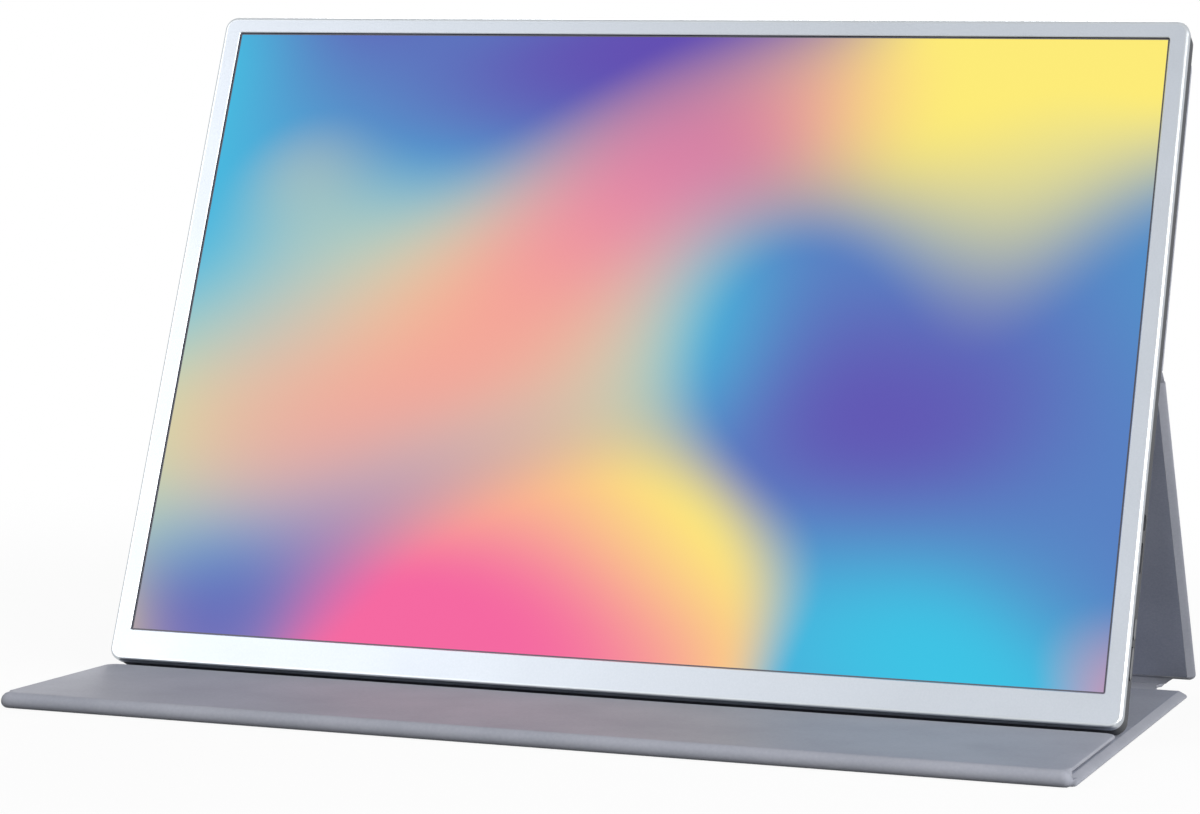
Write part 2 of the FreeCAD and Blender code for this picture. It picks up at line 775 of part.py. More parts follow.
def support_ribs(body):
    """Upright ribs that press on the backlight tray."""
    for step in (-1, 0, 1):
        rib = outline(body, "rib", "XZ_Plane", "rib_thickness", "rib_height", slot_round("rib_thickness"),
                      across=f"{step} * rib_spacing", up="rib_low", level="shell_floor")
        pad(body, rib, "shell_floor - tray_back")


def sound_slots(body):
    """A row of upright slots behind each speaker."""
    for side in (-1, 1):
        slot = outline(body, "sound_slot", "XZ_Plane", "grille_slot", "grille_height", slot_round("grille_slot"),
                       across=f"{side} * speaker_middle - grille_run / 2",
                       up="speaker_low + (speaker_height - grille_height) / 2", level="shell_floor")
        first = pocket(body, slot, "shell_wall + cut_overrun")
        row = body.newObject("PartDesign::LinearPattern", "sound_row")
        row.Originals = [first]
        row.Direction = (slot, ["H_Axis"])
        bind(row, "Length", "grille_run")
        bind(row, "Occurrences", "grille_count")
        body.Tip = row


# Panels of the cover

def panel(prefix, home, width, length, near, far, start, level="0", magnets=None):
    """Leather turned over a board's edges, the board, and the lining inside the turned border."""
    tray = new_body(prefix + "_skin", home, y=start, z=level)
    outer = outline(tray, prefix + "_outer", "XY_Plane", width, length, near, far)
    solid = pad(tray, outer, "panel_thickness")
    ease(tray, "Fillet", "Radius", "edge_round", solid, "Z", 0)
    inner_near = f"max({near} - rim_width; pocket_corner)"
    inner_far = f"max({far} - rim_width; pocket_corner)"
    inner_width = f"{width} - 2 * rim_width"
    inner_length = f"{length} - 2 * rim_width"
    hollow = outline(tray, prefix + "_hollow", "XY_Plane", inner_width, inner_length, inner_near, inner_far,
                     up="rim_width", level="panel_thickness")
    pocket(tray, hollow, "board_thickness + lining_thickness")
    board = new_body(prefix + "_board", home, y=start, z=level)
    stiff = outline(board, prefix + "_stiff", "XY_Plane", f"{inner_width} - 2 * board_fit",
                    f"{inner_length} - 2 * board_fit", inner_near, inner_far, up="rim_width + board_fit",
                    level="skin_thickness")
    pad(board, stiff, "board_thickness")
    if magnets:
        cut_magnet_slots(board, magnets)
    lining = new_body(prefix + "_lining", home, y=start, z=level)
    cloth = outline(lining, prefix + "_cloth", "XY_Plane", f"{inner_width} - 2 * groove",
                    f"{inner_length} - 2 * groove", inner_near, inner_far, up="rim_width + groove",
                    level="skin_thickness + board_thickness")
    pad(lining, cloth, "lining_thickness")
    for piece in (tray, board, lining):
        node(piece)


MAGNET_STEPS = (-1, 0, 1)


def cut_magnet_slots(board, up):
    for step in MAGNET_STEPS:
        slot = outline(board, "magnet_slot", "XY_Plane", "magnet_length + 2 * board_fit",
                       "magnet_width + 2 * board_fit", "board_fit", across=f"{step} * magnet_spacing",
                       up=f"{up} - board_fit", level="skin_thickness + board_thickness")
        pocket(board, slot, "board_thickness")


def magnet_row(name, home, start, up, level="0"):
    """Flat bar magnets in the slots of a board."""
    bars = []
    for step in MAGNET_STEPS:
        bars.append(block("magnet", home, "magnet_length", "magnet_width", "board_thickness",
                          x=f"{step} * magnet_spacing", y=f"{start} + {up}", z=f"{level} + skin_thickness"))
    return group(name, bars)


def fold_strip(name, home, radius, length, start, z):
    """A round leather fold with the web that ties it to its panel's edge."""
    bead = cross_rod(name + "_bead", home, radius, length, z=z)
    web = block(name + "_web", home, length, start, "web_thickness", z=f"{z} - web_thickness / 2")
    return fused(name, [bead, web])


def back_plate():
    panel("plate", PLATE_FOLD, "plate_width", "plate_length", "hinge_corner", "plate_corner", "panel_start",
          level="-bead_radius")
    node(fold_strip("back_fold", PLATE_FOLD, "bead_radius", "plate_width", "panel_start", "0"))
    node(block("adhesive_sheet", MONITOR, "plate_width - 2 * adhesive_margin", "adhesive_thickness",
               "plate_length - 2 * adhesive_margin", y="monitor_depth",
               z="hinge_height + panel_start + adhesive_margin"))


def leg():
    panel("leg", LEG, "base_width", "leg_length", "hinge_corner", "panel_corner", "panel_start",
          level="-bead_radius")
    heel = LEG + " * " + frame(y="leg_reach", turn=ABOUT)
    node(fold_strip("heel_fold", heel, "bead_radius", "spine_width", "panel_start + heel_relief", "0"))


def spine():
    """A soft strip between the base's rear edge and the leg's foot, with its own rear fold."""
    bead = cross_rod("spine_bead", SPINE, "bead_radius", "spine_width")
    strip = block("spine_flat", SPINE, "spine_width", "spine_reach - panel_start", "spine_thickness",
                  z="-spine_thickness / 2")
    return fused("spine_strip", [bead, strip])


def base():
    up = "rim_width + magnet_edge"
    panel("base", BASE, "base_width", "base_length", "front_corner", "panel_corner", "roll_start", magnets=up)
    node(magnet_row("base_magnets", BASE, "roll_start", up))
    tied = fold_strip("front_tie", BASE, "bead_radius", "roll_width", "roll_start", "bead_radius")
    roll = cross_rod("front_bullnose", BASE, "roll_radius", "roll_width", z="roll_radius")
    node(fused("front_roll", [roll, tied]))


def lip():
    up = "lip_length - rim_width - magnet_edge - magnet_width"
    panel("lip", LIP, "lip_width", "lip_length", "front_corner", "lip_corner", "roll_start", magnets=up)
    node(magnet_row("lip_magnets", LIP, "roll_start", up))


def monitor():
    node(front_frame())
    node(foam_tape())
    node(screen_film())
    display_stack()
    node(block("driver_board", MONITOR, "driver_width", "circuit_thickness", "driver_height",
               y="tray_back", z="driver_low"))
    holes = screw_holes()
    node(controller_board(holes[:4]))
    node(port_board(holes[4:]))
    node(controller_chips())
    node(display_cable())
    node(port_cable())
    node(switches())
    node(board_screws())
    node(flat_socket("usb_c_socket_right", "1", "usb_width", "usb_height"))
    node(flat_socket("usb_c_socket_left", "-1", "usb_width", "left_usb_height"))
    node(flat_socket("mini_hdmi_socket", "-1", "hdmi_width", "hdmi_height"))
    node(audio_jack())
    node(speaker("speaker_left", "-1"))
    node(speaker("speaker_right", "1"))
    node(power_button())
    node(menu_rocker())
    node(rocker_pin())
    node(rear_cover())


def check(piece):
    """Stop at a piece that failed to build."""
    shape = piece.Shape
    if shape.isNull() or not shape.isValid() or not shape.Solids:
        raise RuntimeError(f"{piece.Label} has no sound solid")
    print(f"{piece.Label:20s} {len(shape.Solids):2d} solids {shape.Volume:10.1f} mm3")


def main():
    monitor()
    back_plate()
    leg()
    node(spine())
    base()
    lip()
    doc.recompute()
    for thing in doc.Objects:
        if "Invalid" in thing.State or "Error" in thing.State:
            raise RuntimeError(f"{thing.Label} failed: {thing.State}")
    for piece in nodes:
        check(piece)
    os.makedirs("parts", exist_ok=True)
    for piece in nodes:
        piece.Shape.exportStep(f"parts/{piece.Label}.step")
    for fold in ("hinge", "heel", "rear", "front"):
        print(f"{fold} fold at y {value(fold + '_y'):.3f}")
    print(f"hinge z {value('hinge_z'):.3f}, heel z {value('heel_z'):.3f}, foot y {value('foot_y'):.3f}"
          f" z {value('foot_z'):.3f}, leg {value('leg_reach'):.2f}, base {value('base_length'):.2f}")


main()
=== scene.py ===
# %% [markdown]
# # A portable monitor that leans in its folding cover
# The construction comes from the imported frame: every solid is there, at its real size and place. This lesson
# dresses it. Rigid pieces with fine edges are skinned over rounded outlines, the soft folds of the cover are
# grown by Geometry Nodes along a path, and each finish is a small node tree that starts from what the real
# material is.

# %% Load the frame
import bmesh
import bpy
import json
import math
from mathutils import Matrix, Vector


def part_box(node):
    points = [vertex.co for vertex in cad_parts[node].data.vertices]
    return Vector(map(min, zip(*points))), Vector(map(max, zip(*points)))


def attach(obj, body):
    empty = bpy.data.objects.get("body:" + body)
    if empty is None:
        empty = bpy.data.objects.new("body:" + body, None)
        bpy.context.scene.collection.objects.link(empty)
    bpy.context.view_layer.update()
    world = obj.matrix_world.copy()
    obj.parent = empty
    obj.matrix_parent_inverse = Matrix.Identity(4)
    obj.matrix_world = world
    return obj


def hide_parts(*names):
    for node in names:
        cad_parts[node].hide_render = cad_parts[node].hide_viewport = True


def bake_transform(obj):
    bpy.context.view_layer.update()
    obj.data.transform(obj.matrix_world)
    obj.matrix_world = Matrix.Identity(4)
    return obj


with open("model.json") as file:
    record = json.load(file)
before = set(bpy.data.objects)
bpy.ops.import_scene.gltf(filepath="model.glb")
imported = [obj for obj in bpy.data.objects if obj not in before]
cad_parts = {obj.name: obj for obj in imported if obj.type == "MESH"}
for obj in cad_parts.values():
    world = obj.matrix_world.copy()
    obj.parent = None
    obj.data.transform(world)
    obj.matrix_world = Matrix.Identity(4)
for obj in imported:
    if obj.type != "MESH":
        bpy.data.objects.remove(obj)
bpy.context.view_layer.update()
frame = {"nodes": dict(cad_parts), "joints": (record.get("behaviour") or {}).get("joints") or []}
nodes = frame["nodes"]
scene = bpy.context.scene
scene.view_settings.view_transform = "Standard"

# %% [markdown]
# ## Directions and folds
# The monitor leans, the leg slants, and the base lies flat. Their directions come from the joints: each fold
# of the cover is a joint, and the menu key's pin points straight back through the monitor. With these few
# vectors every other place can be measured on the CAD nodes, so nothing has to be typed twice.

# %% Directions
MM = 0.001
ACROSS = Vector((1, 0, 0))
AWAY = Vector((0, 1, 0))
ABOVE = Vector((0, 0, 1))
joints = {joint["name"]: joint for joint in frame["joints"]}
front_axis = Vector(joints["lip_fold"]["pos_m"])
rear_axis = Vector(joints["base_fold"]["pos_m"])
heel_axis = Vector(joints["heel_fold"]["pos_m"])
hinge_axis = Vector(joints["monitor_fold"]["pos_m"])
behind = Vector(joints["menu_rock"]["axis"]).normalized()
upward = ACROSS.cross(behind)
down_leg = (heel_axis - hinge_axis).normalized()
along_spine = (heel_axis - rear_axis).normalized()


def reach(name, direction):
    """Least and greatest place of a CAD node along a direction, in metres."""
    places = [vertex.co.dot(direction) for vertex in nodes[name].data.vertices]
    return min(places), max(places)


def axes(x, y, z, origin):
    """A frame with these three unit axes."""
    return Matrix.Translation(origin) @ Matrix((x, y, z)).transposed().to_4x4()


frame_front, frame_back = reach("front_frame", behind)
frame_foot, frame_top = reach("front_frame", upward)
monitor_home = axes(ACROSS, behind, upward, behind * frame_front + upward * frame_foot)
print("the monitor leans", round(math.degrees(math.asin(upward.y)), 2), "degrees")

# %% [markdown]
# ## Camera
# The photograph was taken with a long lens from the right, a little above the table, and it is turned by
# about one degree. The numbers were fitted to the edges of the screen, the frame and the base, so that the
# model's edges fall on the photograph's.

# %% Camera
CAMERA_PLACE = Vector((322.4, -967.9, 150.7)) * MM
CAMERA_AZIMUTH = 18.78
CAMERA_DIP = 3.57
CAMERA_ROLL = 1.18
CAMERA_LENS = 104.4

lens = bpy.data.cameras.new("camera")
lens.lens = CAMERA_LENS
camera = bpy.data.objects.new("camera", lens)
camera.matrix_world = (
    Matrix.Translation(CAMERA_PLACE)
    @ Matrix.Rotation(math.radians(CAMERA_AZIMUTH), 4, "Z")
    @ Matrix.Rotation(math.radians(90 - CAMERA_DIP), 4, "X")
    @ Matrix.Rotation(math.radians(CAMERA_ROLL), 4, "Z")
)
scene.collection.objects.link(camera)
scene.camera = camera
print("camera", round((CAMERA_PLACE - hinge_axis).length, 3), "metres from the hinge")

# %% [markdown]
# ## Nodes and colours
# One function adds any node: it sets the node's options, then gives each input either a plain value or a
# link. Colours are written as sRGB hex, the way a colour picker shows them, and turned to linear light here.
# Pattern sizes are written in millimetres; a texture's scale is how many of them fit into a metre. Short
# functions follow for what most finishes need: noise on the object, a colour between two others, a relief,
# and the links into the shader.

# %% Helpers for node trees
GRAIN_DEPTH = 0.05
# A Mix node's sockets for colours, which share their names with those for values
MIX_FIRST, MIX_SECOND, MIX_RESULT = 6, 7, 2


def output(source):
    """A node's first output; a socket or a value stays what it is."""
    return source.outputs[0] if isinstance(source, bpy.types.Node) else source


def add(tree, kind, inputs=None, **options):
    """Add a node with its options; an input takes a value, a node's first output, a socket, or a list."""
    made = tree.nodes.new(kind)
    for option, setting in options.items():
        setattr(made, option, setting)
    for socket, given in (inputs or {}).items():
        for source in map(output, given if isinstance(given, list) else [given]):
            if isinstance(source, bpy.types.NodeSocket):
                tree.links.new(source, made.inputs[socket])
            else:
                made.inputs[socket].default_value = source
    return made


def maths(tree, operation, *values):
    """A Math node on one to three values."""
    return add(tree, "ShaderNodeMath", dict(enumerate(values)), operation=operation)


def linear(code):
    """An sRGB hex colour as linear red, green, blue and a full alpha."""
    parts = [int(code[start:start + 2], 16) / 255 for start in (1, 3, 5)]
    light = [part / 12.92 if part <= 0.04045 else ((part + 0.055) / 1.055) ** 2.4 for part in parts]
    return (*light, 1.0)


def per_metre(millimetres):
    """How many patterns of this size fit into a metre."""
    return 1.0 / (millimetres * MM)


def on_object(tree):
    """The object's own coordinates."""
    return add(tree, "ShaderNodeTexCoord").outputs["Object"]


def noise(tree, size, detail):
    """Noise on the object's own coordinates, with patches of a size in millimetres."""
    settings = {"Vector": on_object(tree), "Scale": per_metre(size), "Detail": detail}
    return add(tree, "ShaderNodeTexNoise", settings)


def mix(tree, factor, first, second):
    """A colour between two others."""
    colours = {"Factor": factor, MIX_FIRST: first, MIX_SECOND: second}
    return add(tree, "ShaderNodeMix", colours, data_type="RGBA").outputs[MIX_RESULT]


def between(tree, factor, first, second):
    """A colour between two hex colours."""
    return mix(tree, factor, linear(first), linear(second))


def ramp(tree, factor, stops):
    """A colour that goes through two stops, each a position and a hex colour."""
    tint = add(tree, "ShaderNodeValToRGB", {0: factor})
    for element, (position, code) in zip(tint.color_ramp.elements, stops):
        element.position = position
        element.color = linear(code)
    return tint


def spread(tree, value, low, high):
    """A value from nothing to one, spread between two others."""
    return add(tree, "ShaderNodeMapRange", {"Value": value, "To Min": low, "To Max": high})


def relief(tree, height, strength, invert=False):
    """A fine bump that follows a height."""
    settings = {"Height": height, "Strength": strength, "Distance": GRAIN_DEPTH * MM}
    return add(tree, "ShaderNodeBump", settings, invert=invert)


def sockets_of(shader):
    """The shader's inputs by their names, with the spaces left out."""
    return {socket.name.replace(" ", ""): socket for socket in shader.inputs}


def new_finish(name, **surface):
    """A material with a Principled surface; each keyword is a socket with its spaces left out."""
    material = bpy.data.materials.new(name)
    material.use_nodes = True
    shader = material.node_tree.nodes["Principled BSDF"]
    for socket, setting in surface.items():
        sockets_of(shader)[socket].default_value = setting
    return material, material.node_tree, shader


def wear(tree, shader, **sources):
    """Link a node or an output to each socket that a keyword names."""
    for socket, source in sources.items():
        tree.links.new(output(source), sockets_of(shader)[socket])


def two_tone(name, colours, size, detail, **surface):
    """A finish whose colour varies a little with one noise."""
    material, tree, shader = new_finish(name, **surface)
    wear(tree, shader, BaseColor=between(tree, noise(tree, size, detail), *colours))
    return material


# %% [markdown]
# ## Studio
# The floor and the world are white to rays that see them, by eye, gloss or glass, but they light the object
# only at a plain level. A key lamp at the right front models the front fold and the sloping borders. A weak
# one at the left front mirrors in the left half of the metal frame, one at the right lights the frame's edge
# and the space under the leg, and one behind lights the back of the cover.

# %% Floor, world and lamps
FLOOR_SIZE = 12.0
FLOOR_DROP = 0.0002
# The floor's tone for rays that light the object, and for rays that see the floor
FLOOR_TONES = ("#484848", "#FAFAFA")
FLOOR_LIFT = 0.92
FLOOR_NEAR = 0.3
FLOOR_FAR = 0.75
WORLD_LEVEL = 0.17
WHITE = linear("#FFFFFF")
LAMPS = {
    # place and width in metres, power in watts
    "key_lamp": (Vector((1.05, -1.35, 0.75)), 1.1, 25.0),
    "window_lamp": (Vector((-1.05, -1.05, 0.76)), 1.1, 8.0),
    "side_lamp": (Vector((1.26, -0.42, 0.4)), 0.9, 10.5),
    "back_lamp": (Vector((-0.45, 1.8, 0.6)), 0.9, 24.0),
}


def seen_directly(tree):
    """One for rays that show a surface, by eye, gloss or glass, and nothing for rays that light others."""
    rays = add(tree, "ShaderNodeLightPath").outputs
    glossy = maths(tree, "MAXIMUM", rays["Is Camera Ray"], rays["Is Glossy Ray"])
    return maths(tree, "MAXIMUM", glossy, rays["Is Transmission Ray"])


def white_floor():
    """A pale floor that shows the shadow near the object and fades into the white background further out."""
    material = bpy.data.materials.new("white_floor")
    material.use_nodes = True
    tree = material.node_tree
    tree.nodes.clear()
    away = add(tree, "ShaderNodeVectorMath", {0: on_object(tree)}, operation="LENGTH").outputs["Value"]
    lift = add(tree, "ShaderNodeMapRange", {"Value": away, "From Min": FLOOR_NEAR, "From Max": FLOOR_FAR,
                                            "To Min": FLOOR_LIFT, "To Max": 1.0},
               interpolation_type="SMOOTHSTEP")
    share = maths(tree, "MULTIPLY", seen_directly(tree), lift)
    paint = add(tree, "ShaderNodeBsdfDiffuse", {"Color": between(tree, share, *FLOOR_TONES)})
    glow = add(tree, "ShaderNodeEmission", {"Color": WHITE})
    mixed = add(tree, "ShaderNodeMixShader", {0: share, 1: paint, 2: glow})
    add(tree, "ShaderNodeOutputMaterial", {"Surface": mixed})
    half = FLOOR_SIZE / 2
    sheet = bpy.data.meshes.new("floor")
    corners = [(-half, -half), (half, -half), (half, half), (-half, half)]
    sheet.from_pydata([(x, y, -FLOOR_DROP) for x, y in corners], [], [range(len(corners))])
    sheet.materials.append(material)
    floor = bpy.data.objects.new("floor", sheet)
    scene.collection.objects.link(floor)


def white_world():
    """A world that is white to look at and lights the object at a plain level."""
    world = bpy.data.worlds.new("studio")
    scene.world = world
    world.use_nodes = True
    tree = world.node_tree
    background = tree.nodes["Background"].inputs
    background["Color"].default_value = WHITE
    tree.links.new(output(spread(tree, seen_directly(tree), WORLD_LEVEL, 1.0)), background["Strength"])


white_floor()
white_world()
for name, (place, size, power) in LAMPS.items():
    lamp = bpy.data.lights.new(name, "AREA")
    lamp.size = size
    lamp.energy = power
    holder = bpy.data.objects.new(name, lamp)
    holder.matrix_world = Matrix.Translation(place) @ place.to_track_quat("Z", "Y").to_matrix().to_4x4()
    scene.collection.objects.link(holder)
print(len(LAMPS), "lamps")

# %% [markdown]
# ## Leather and lining
# The cover is polyurethane leather: a matt film embossed with a fine pebble grain, which leaves hardly any
# highlight. The grain of half a millimetre is too fine for this view, so it is drawn at nearly a millimetre.
# Inside, the panels have a brushed microfibre lining: only a faint sheen at grazing angles and a cloudy nap.

# %% Leather and lining
PEBBLE = 0.9
PORE = 0.35
CLOUD = 26.0
NAP = 0.6
PORE_SHARE = 0.5
GRAIN_SHADE = 0.35
GRAIN_STRENGTH = 0.35
NAP_STRENGTH = 0.3
LEATHER_GLOSS = (0.44, 0.58)
LEATHER_TINTS = ((0.35, "#A1A3AD"), (1.0, "#9497A1"))
LINING_TINTS = ((0.35, "#7C8191"), (0.65, "#8A8F9F"))


def embossed_leather():
    """Pebbles with pores between them, and a slow cloud that varies colour and gloss."""
    material, tree, shader = new_finish("embossed_polyurethane_leather", SpecularIORLevel=0.06)
    pebbles = add(tree, "ShaderNodeTexVoronoi", {"Vector": on_object(tree), "Scale": per_metre(PEBBLE)},
                  feature="SMOOTH_F1")
    cloud = noise(tree, CLOUD, detail=4.0)
    height = maths(tree, "MULTIPLY_ADD", noise(tree, PORE, detail=3.0), PORE_SHARE, pebbles)
    shade = maths(tree, "MULTIPLY_ADD", height, GRAIN_SHADE, cloud)
    wear(tree, shader, BaseColor=ramp(tree, shade, LEATHER_TINTS),
         Roughness=spread(tree, cloud, *LEATHER_GLOSS),
         Normal=relief(tree, height, GRAIN_STRENGTH, invert=True))
    return material


def brushed_lining():
    """A fine nap on a slow cloud; their mean sets the colour."""
    material, tree, shader = new_finish("brushed_microfibre_lining", Roughness=0.9, SpecularIORLevel=0.2,
                                        SheenWeight=0.1)
    nap = noise(tree, NAP, detail=5.0)
    shade = maths(tree, "ADD", nap, noise(tree, CLOUD, detail=2.0))
    mean = maths(tree, "MULTIPLY", shade, 0.5)
    wear(tree, shader, BaseColor=ramp(tree, mean, LINING_TINTS), Normal=relief(tree, nap, NAP_STRENGTH))
    return material


leather = embossed_leather()
lining = brushed_lining()
print("cover finishes:", leather.name, lining.name)

# %% [markdown]
# ## Outlines and skins
# Panels, frame and film are all rounded rectangles that change a little from layer to layer. Each layer is a
# loop with equally many points, and a skin of quads joins one loop to the next. That keeps every rounded edge
# as real geometry, and the corners stay clean.

# %% Helpers for skinned pieces
ARC_STEPS = 8
SHARP_ANGLE = 32


def rounded_outline(half, low, high, near, far):
    """Points of a rounded rectangle, anticlockwise from its near right corner."""
    corners = (
        (half - near, low + near, near, -90),
        (half - far, high - far, far, 0),
        (far - half, high - far, far, 90),
        (near - half, low + near, near, 180),
    )
    points = []
    for x, y, radius, start in corners:
        for step in range(ARC_STEPS + 1):
            turn = math.radians(start + 90 * step / ARC_STEPS)
            points.append((x + radius * math.cos(turn), y + radius * math.sin(turn)))
    return points


def quarter_round(radius):
    """Inset and rise of the points of a quarter circle, from a flat face round to an upright side."""
    turns = [math.radians(90 * step / ARC_STEPS) for step in range(ARC_STEPS + 1)]
    return [(radius * (1 - math.sin(turn)), radius * (1 - math.cos(turn))) for turn in turns]


def keep(name, shape, *finishes):
    """Turn a working mesh into an object with smooth faces and crisp edges."""
    bmesh.ops.recalc_face_normals(shape, faces=shape.faces)
    mesh = bpy.data.meshes.new(name)
    for face in shape.faces:
        face.smooth = True
    shape.to_mesh(mesh)
    shape.free()
    mesh.set_sharp_from_angle(angle=math.radians(SHARP_ANGLE))
    for finish in finishes:
        mesh.materials.append(finish)
    piece = bpy.data.objects.new(name, mesh)
    scene.collection.objects.link(piece)
    return piece


def skin(loops, home, closed=False, slots=None):
    """Quads from loop to loop, with caps on the two ends unless the last loop joins the first."""
    shape = bmesh.new()
    rings = [[shape.verts.new(home @ Vector(point)) for point in loop] for loop in loops]
    pairs = list(zip(rings, rings[1:]))
    if closed:
        pairs.append((rings[-1], rings[0]))
    for band, (before, after) in enumerate(pairs):
        for here, (a, b) in enumerate(zip(before, after)):
            following = (here + 1) % len(before)
            face = shape.faces.new((a, before[following], after[following], b))
            face.material_index = slots[band] if slots else 0
    if not closed:
        shape.faces.new(list(reversed(rings[0])))
        shape.faces.new(rings[-1])
    return shape


# %% [markdown]
# ## Panels of the cover
# Each panel is a board between two sheets that are pressed together along the edges, so the border slopes
# from the lining down to a thin edge and catches the light from the side. The leather is a shallow tray with
# that sloping border, and the lining is a thin pad that fills it. Where the base and the lip meet the front
# fold, their leather runs on without a rounded edge, because on the real cover it is one sheet.

# %% Leather panels with their linings
RIM = 2.4 * MM
SKIN = 0.5 * MM
LINING = 0.5 * MM
OUTER_ROUND = 0.6 * MM
EDGE_HEIGHT = 0.9 * MM
EDGE_DROP = 0.35 * MM
EDGE_EASE = 0.9 * MM
EDGE_STEPS = 5
PAD_GAP = 0.05 * MM
PAD_ROLL = 0.2 * MM
FLAT_MARGIN = 3.0 * MM
LEAST_CORNER = 0.3 * MM
PANELS = {
    # body, direction along the panel, side of the lining, near and far corner, near edge flush with a fold
    "base": ("base", AWAY, 1, 0.8 * MM, 2.5 * MM, True),
    "lip": ("lip", AWAY, -1, 0.8 * MM, 4.0 * MM, True),
    "leg": ("leg", down_leg, -1, 1.0 * MM, 2.5 * MM, False),
    "plate": ("monitor", upward, 1, 1.0 * MM, 8.0 * MM, False),
}


def leather_profile(thickness):
    """Inset and height of the leather, from its flat outside over the sloping border to the pocket."""
    climb = (thickness - EDGE_HEIGHT) / RIM
    outside = [(OUTER_ROUND + FLAT_MARGIN, 0.0)] + quarter_round(OUTER_ROUND)
    edge = []
    for step in range(EDGE_STEPS + 1):
        share = step / EDGE_STEPS
        height = EDGE_HEIGHT - EDGE_DROP * (1 - share) ** 2 + climb * EDGE_EASE * share ** 2
        edge.append((EDGE_EASE * share ** 2, height))
    return outside + edge + [(RIM, thickness), (RIM, SKIN)]


def lining_profile(thickness):
    """Inset and height of the lining pad, from the board up over its rolled edge."""
    start = RIM + PAD_GAP
    rolled = [(start + inset, thickness - drop) for inset, drop in reversed(quarter_round(PAD_ROLL))]
    return [(start, thickness - LINING)] + rolled + [(start + FLAT_MARGIN, thickness)]


def panel_piece(name, node, profile, panel, finish):
    """Skin a profile round a panel's outline and let it stand in for a CAD node."""
    body, along, side, near, far, flush = PANELS[panel]
    inward = ACROSS.cross(along) * side
    low, high = reach(panel + "_skin", along)
    outside, inside = reach(panel + "_skin", inward)
    half = reach(panel + "_skin", ACROSS)[1]
    home = axes(along.cross(inward), along, inward, along * low + inward * outside)
    loops = []
    for inset, height in profile(inside - outside):
        near_inset = 0.0 if flush and height <= EDGE_HEIGHT and inset < RIM else inset
        corners = [max(corner - inset, LEAST_CORNER) for corner in (near, far)]
        outline = rounded_outline(half - inset, near_inset, high - low - inset, *corners)
        loops.append([(x, y, height) for x, y in outline])
    piece = keep(name, skin(loops, home), finish)
    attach(piece, body)
    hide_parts(node)


for panel in PANELS:
    panel_piece(panel + "_leather", panel + "_skin", leather_profile, panel, leather)
    panel_piece(panel + "_lining_pad", panel + "_lining", lining_profile, panel, lining)
    least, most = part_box(panel + "_skin")
    print(panel, "panel", [round(edge / MM, 1) for edge in most - least])

# %% [markdown]
# ## Folds
# Between its panels the cover is only leather and lining glued together, which bends. Each fold is a sheet
# that follows a path in the plane across the fold. Geometry Nodes suit this, because one tree serves all
# four: it samples the path, spreads a grid across it, draws the ends in at the waist, and rounds the two
# ends. The result is kept as a plain mesh.

# %% Tree for a fold
GRID_ACROSS = 61
GRID_ALONG = 35
END_CROWDING = 2.5
WELD = 0.001 * MM
LEAST_ROUND = 0.25 * MM
ROUND_FADE = 0.6


def new_tree(name, inputs):
    """An empty tree from geometry to geometry, with these inputs besides."""
    tree = bpy.data.node_groups.new(name, "GeometryNodeTree")
    tree.interface.new_socket("Geometry", in_out="INPUT", socket_type="NodeSocketGeometry")
    for socket, kind in inputs.items():
        tree.interface.new_socket(socket, in_out="INPUT", socket_type="NodeSocket" + kind)
    tree.interface.new_socket("Geometry", in_out="OUTPUT", socket_type="NodeSocketGeometry")
    return tree


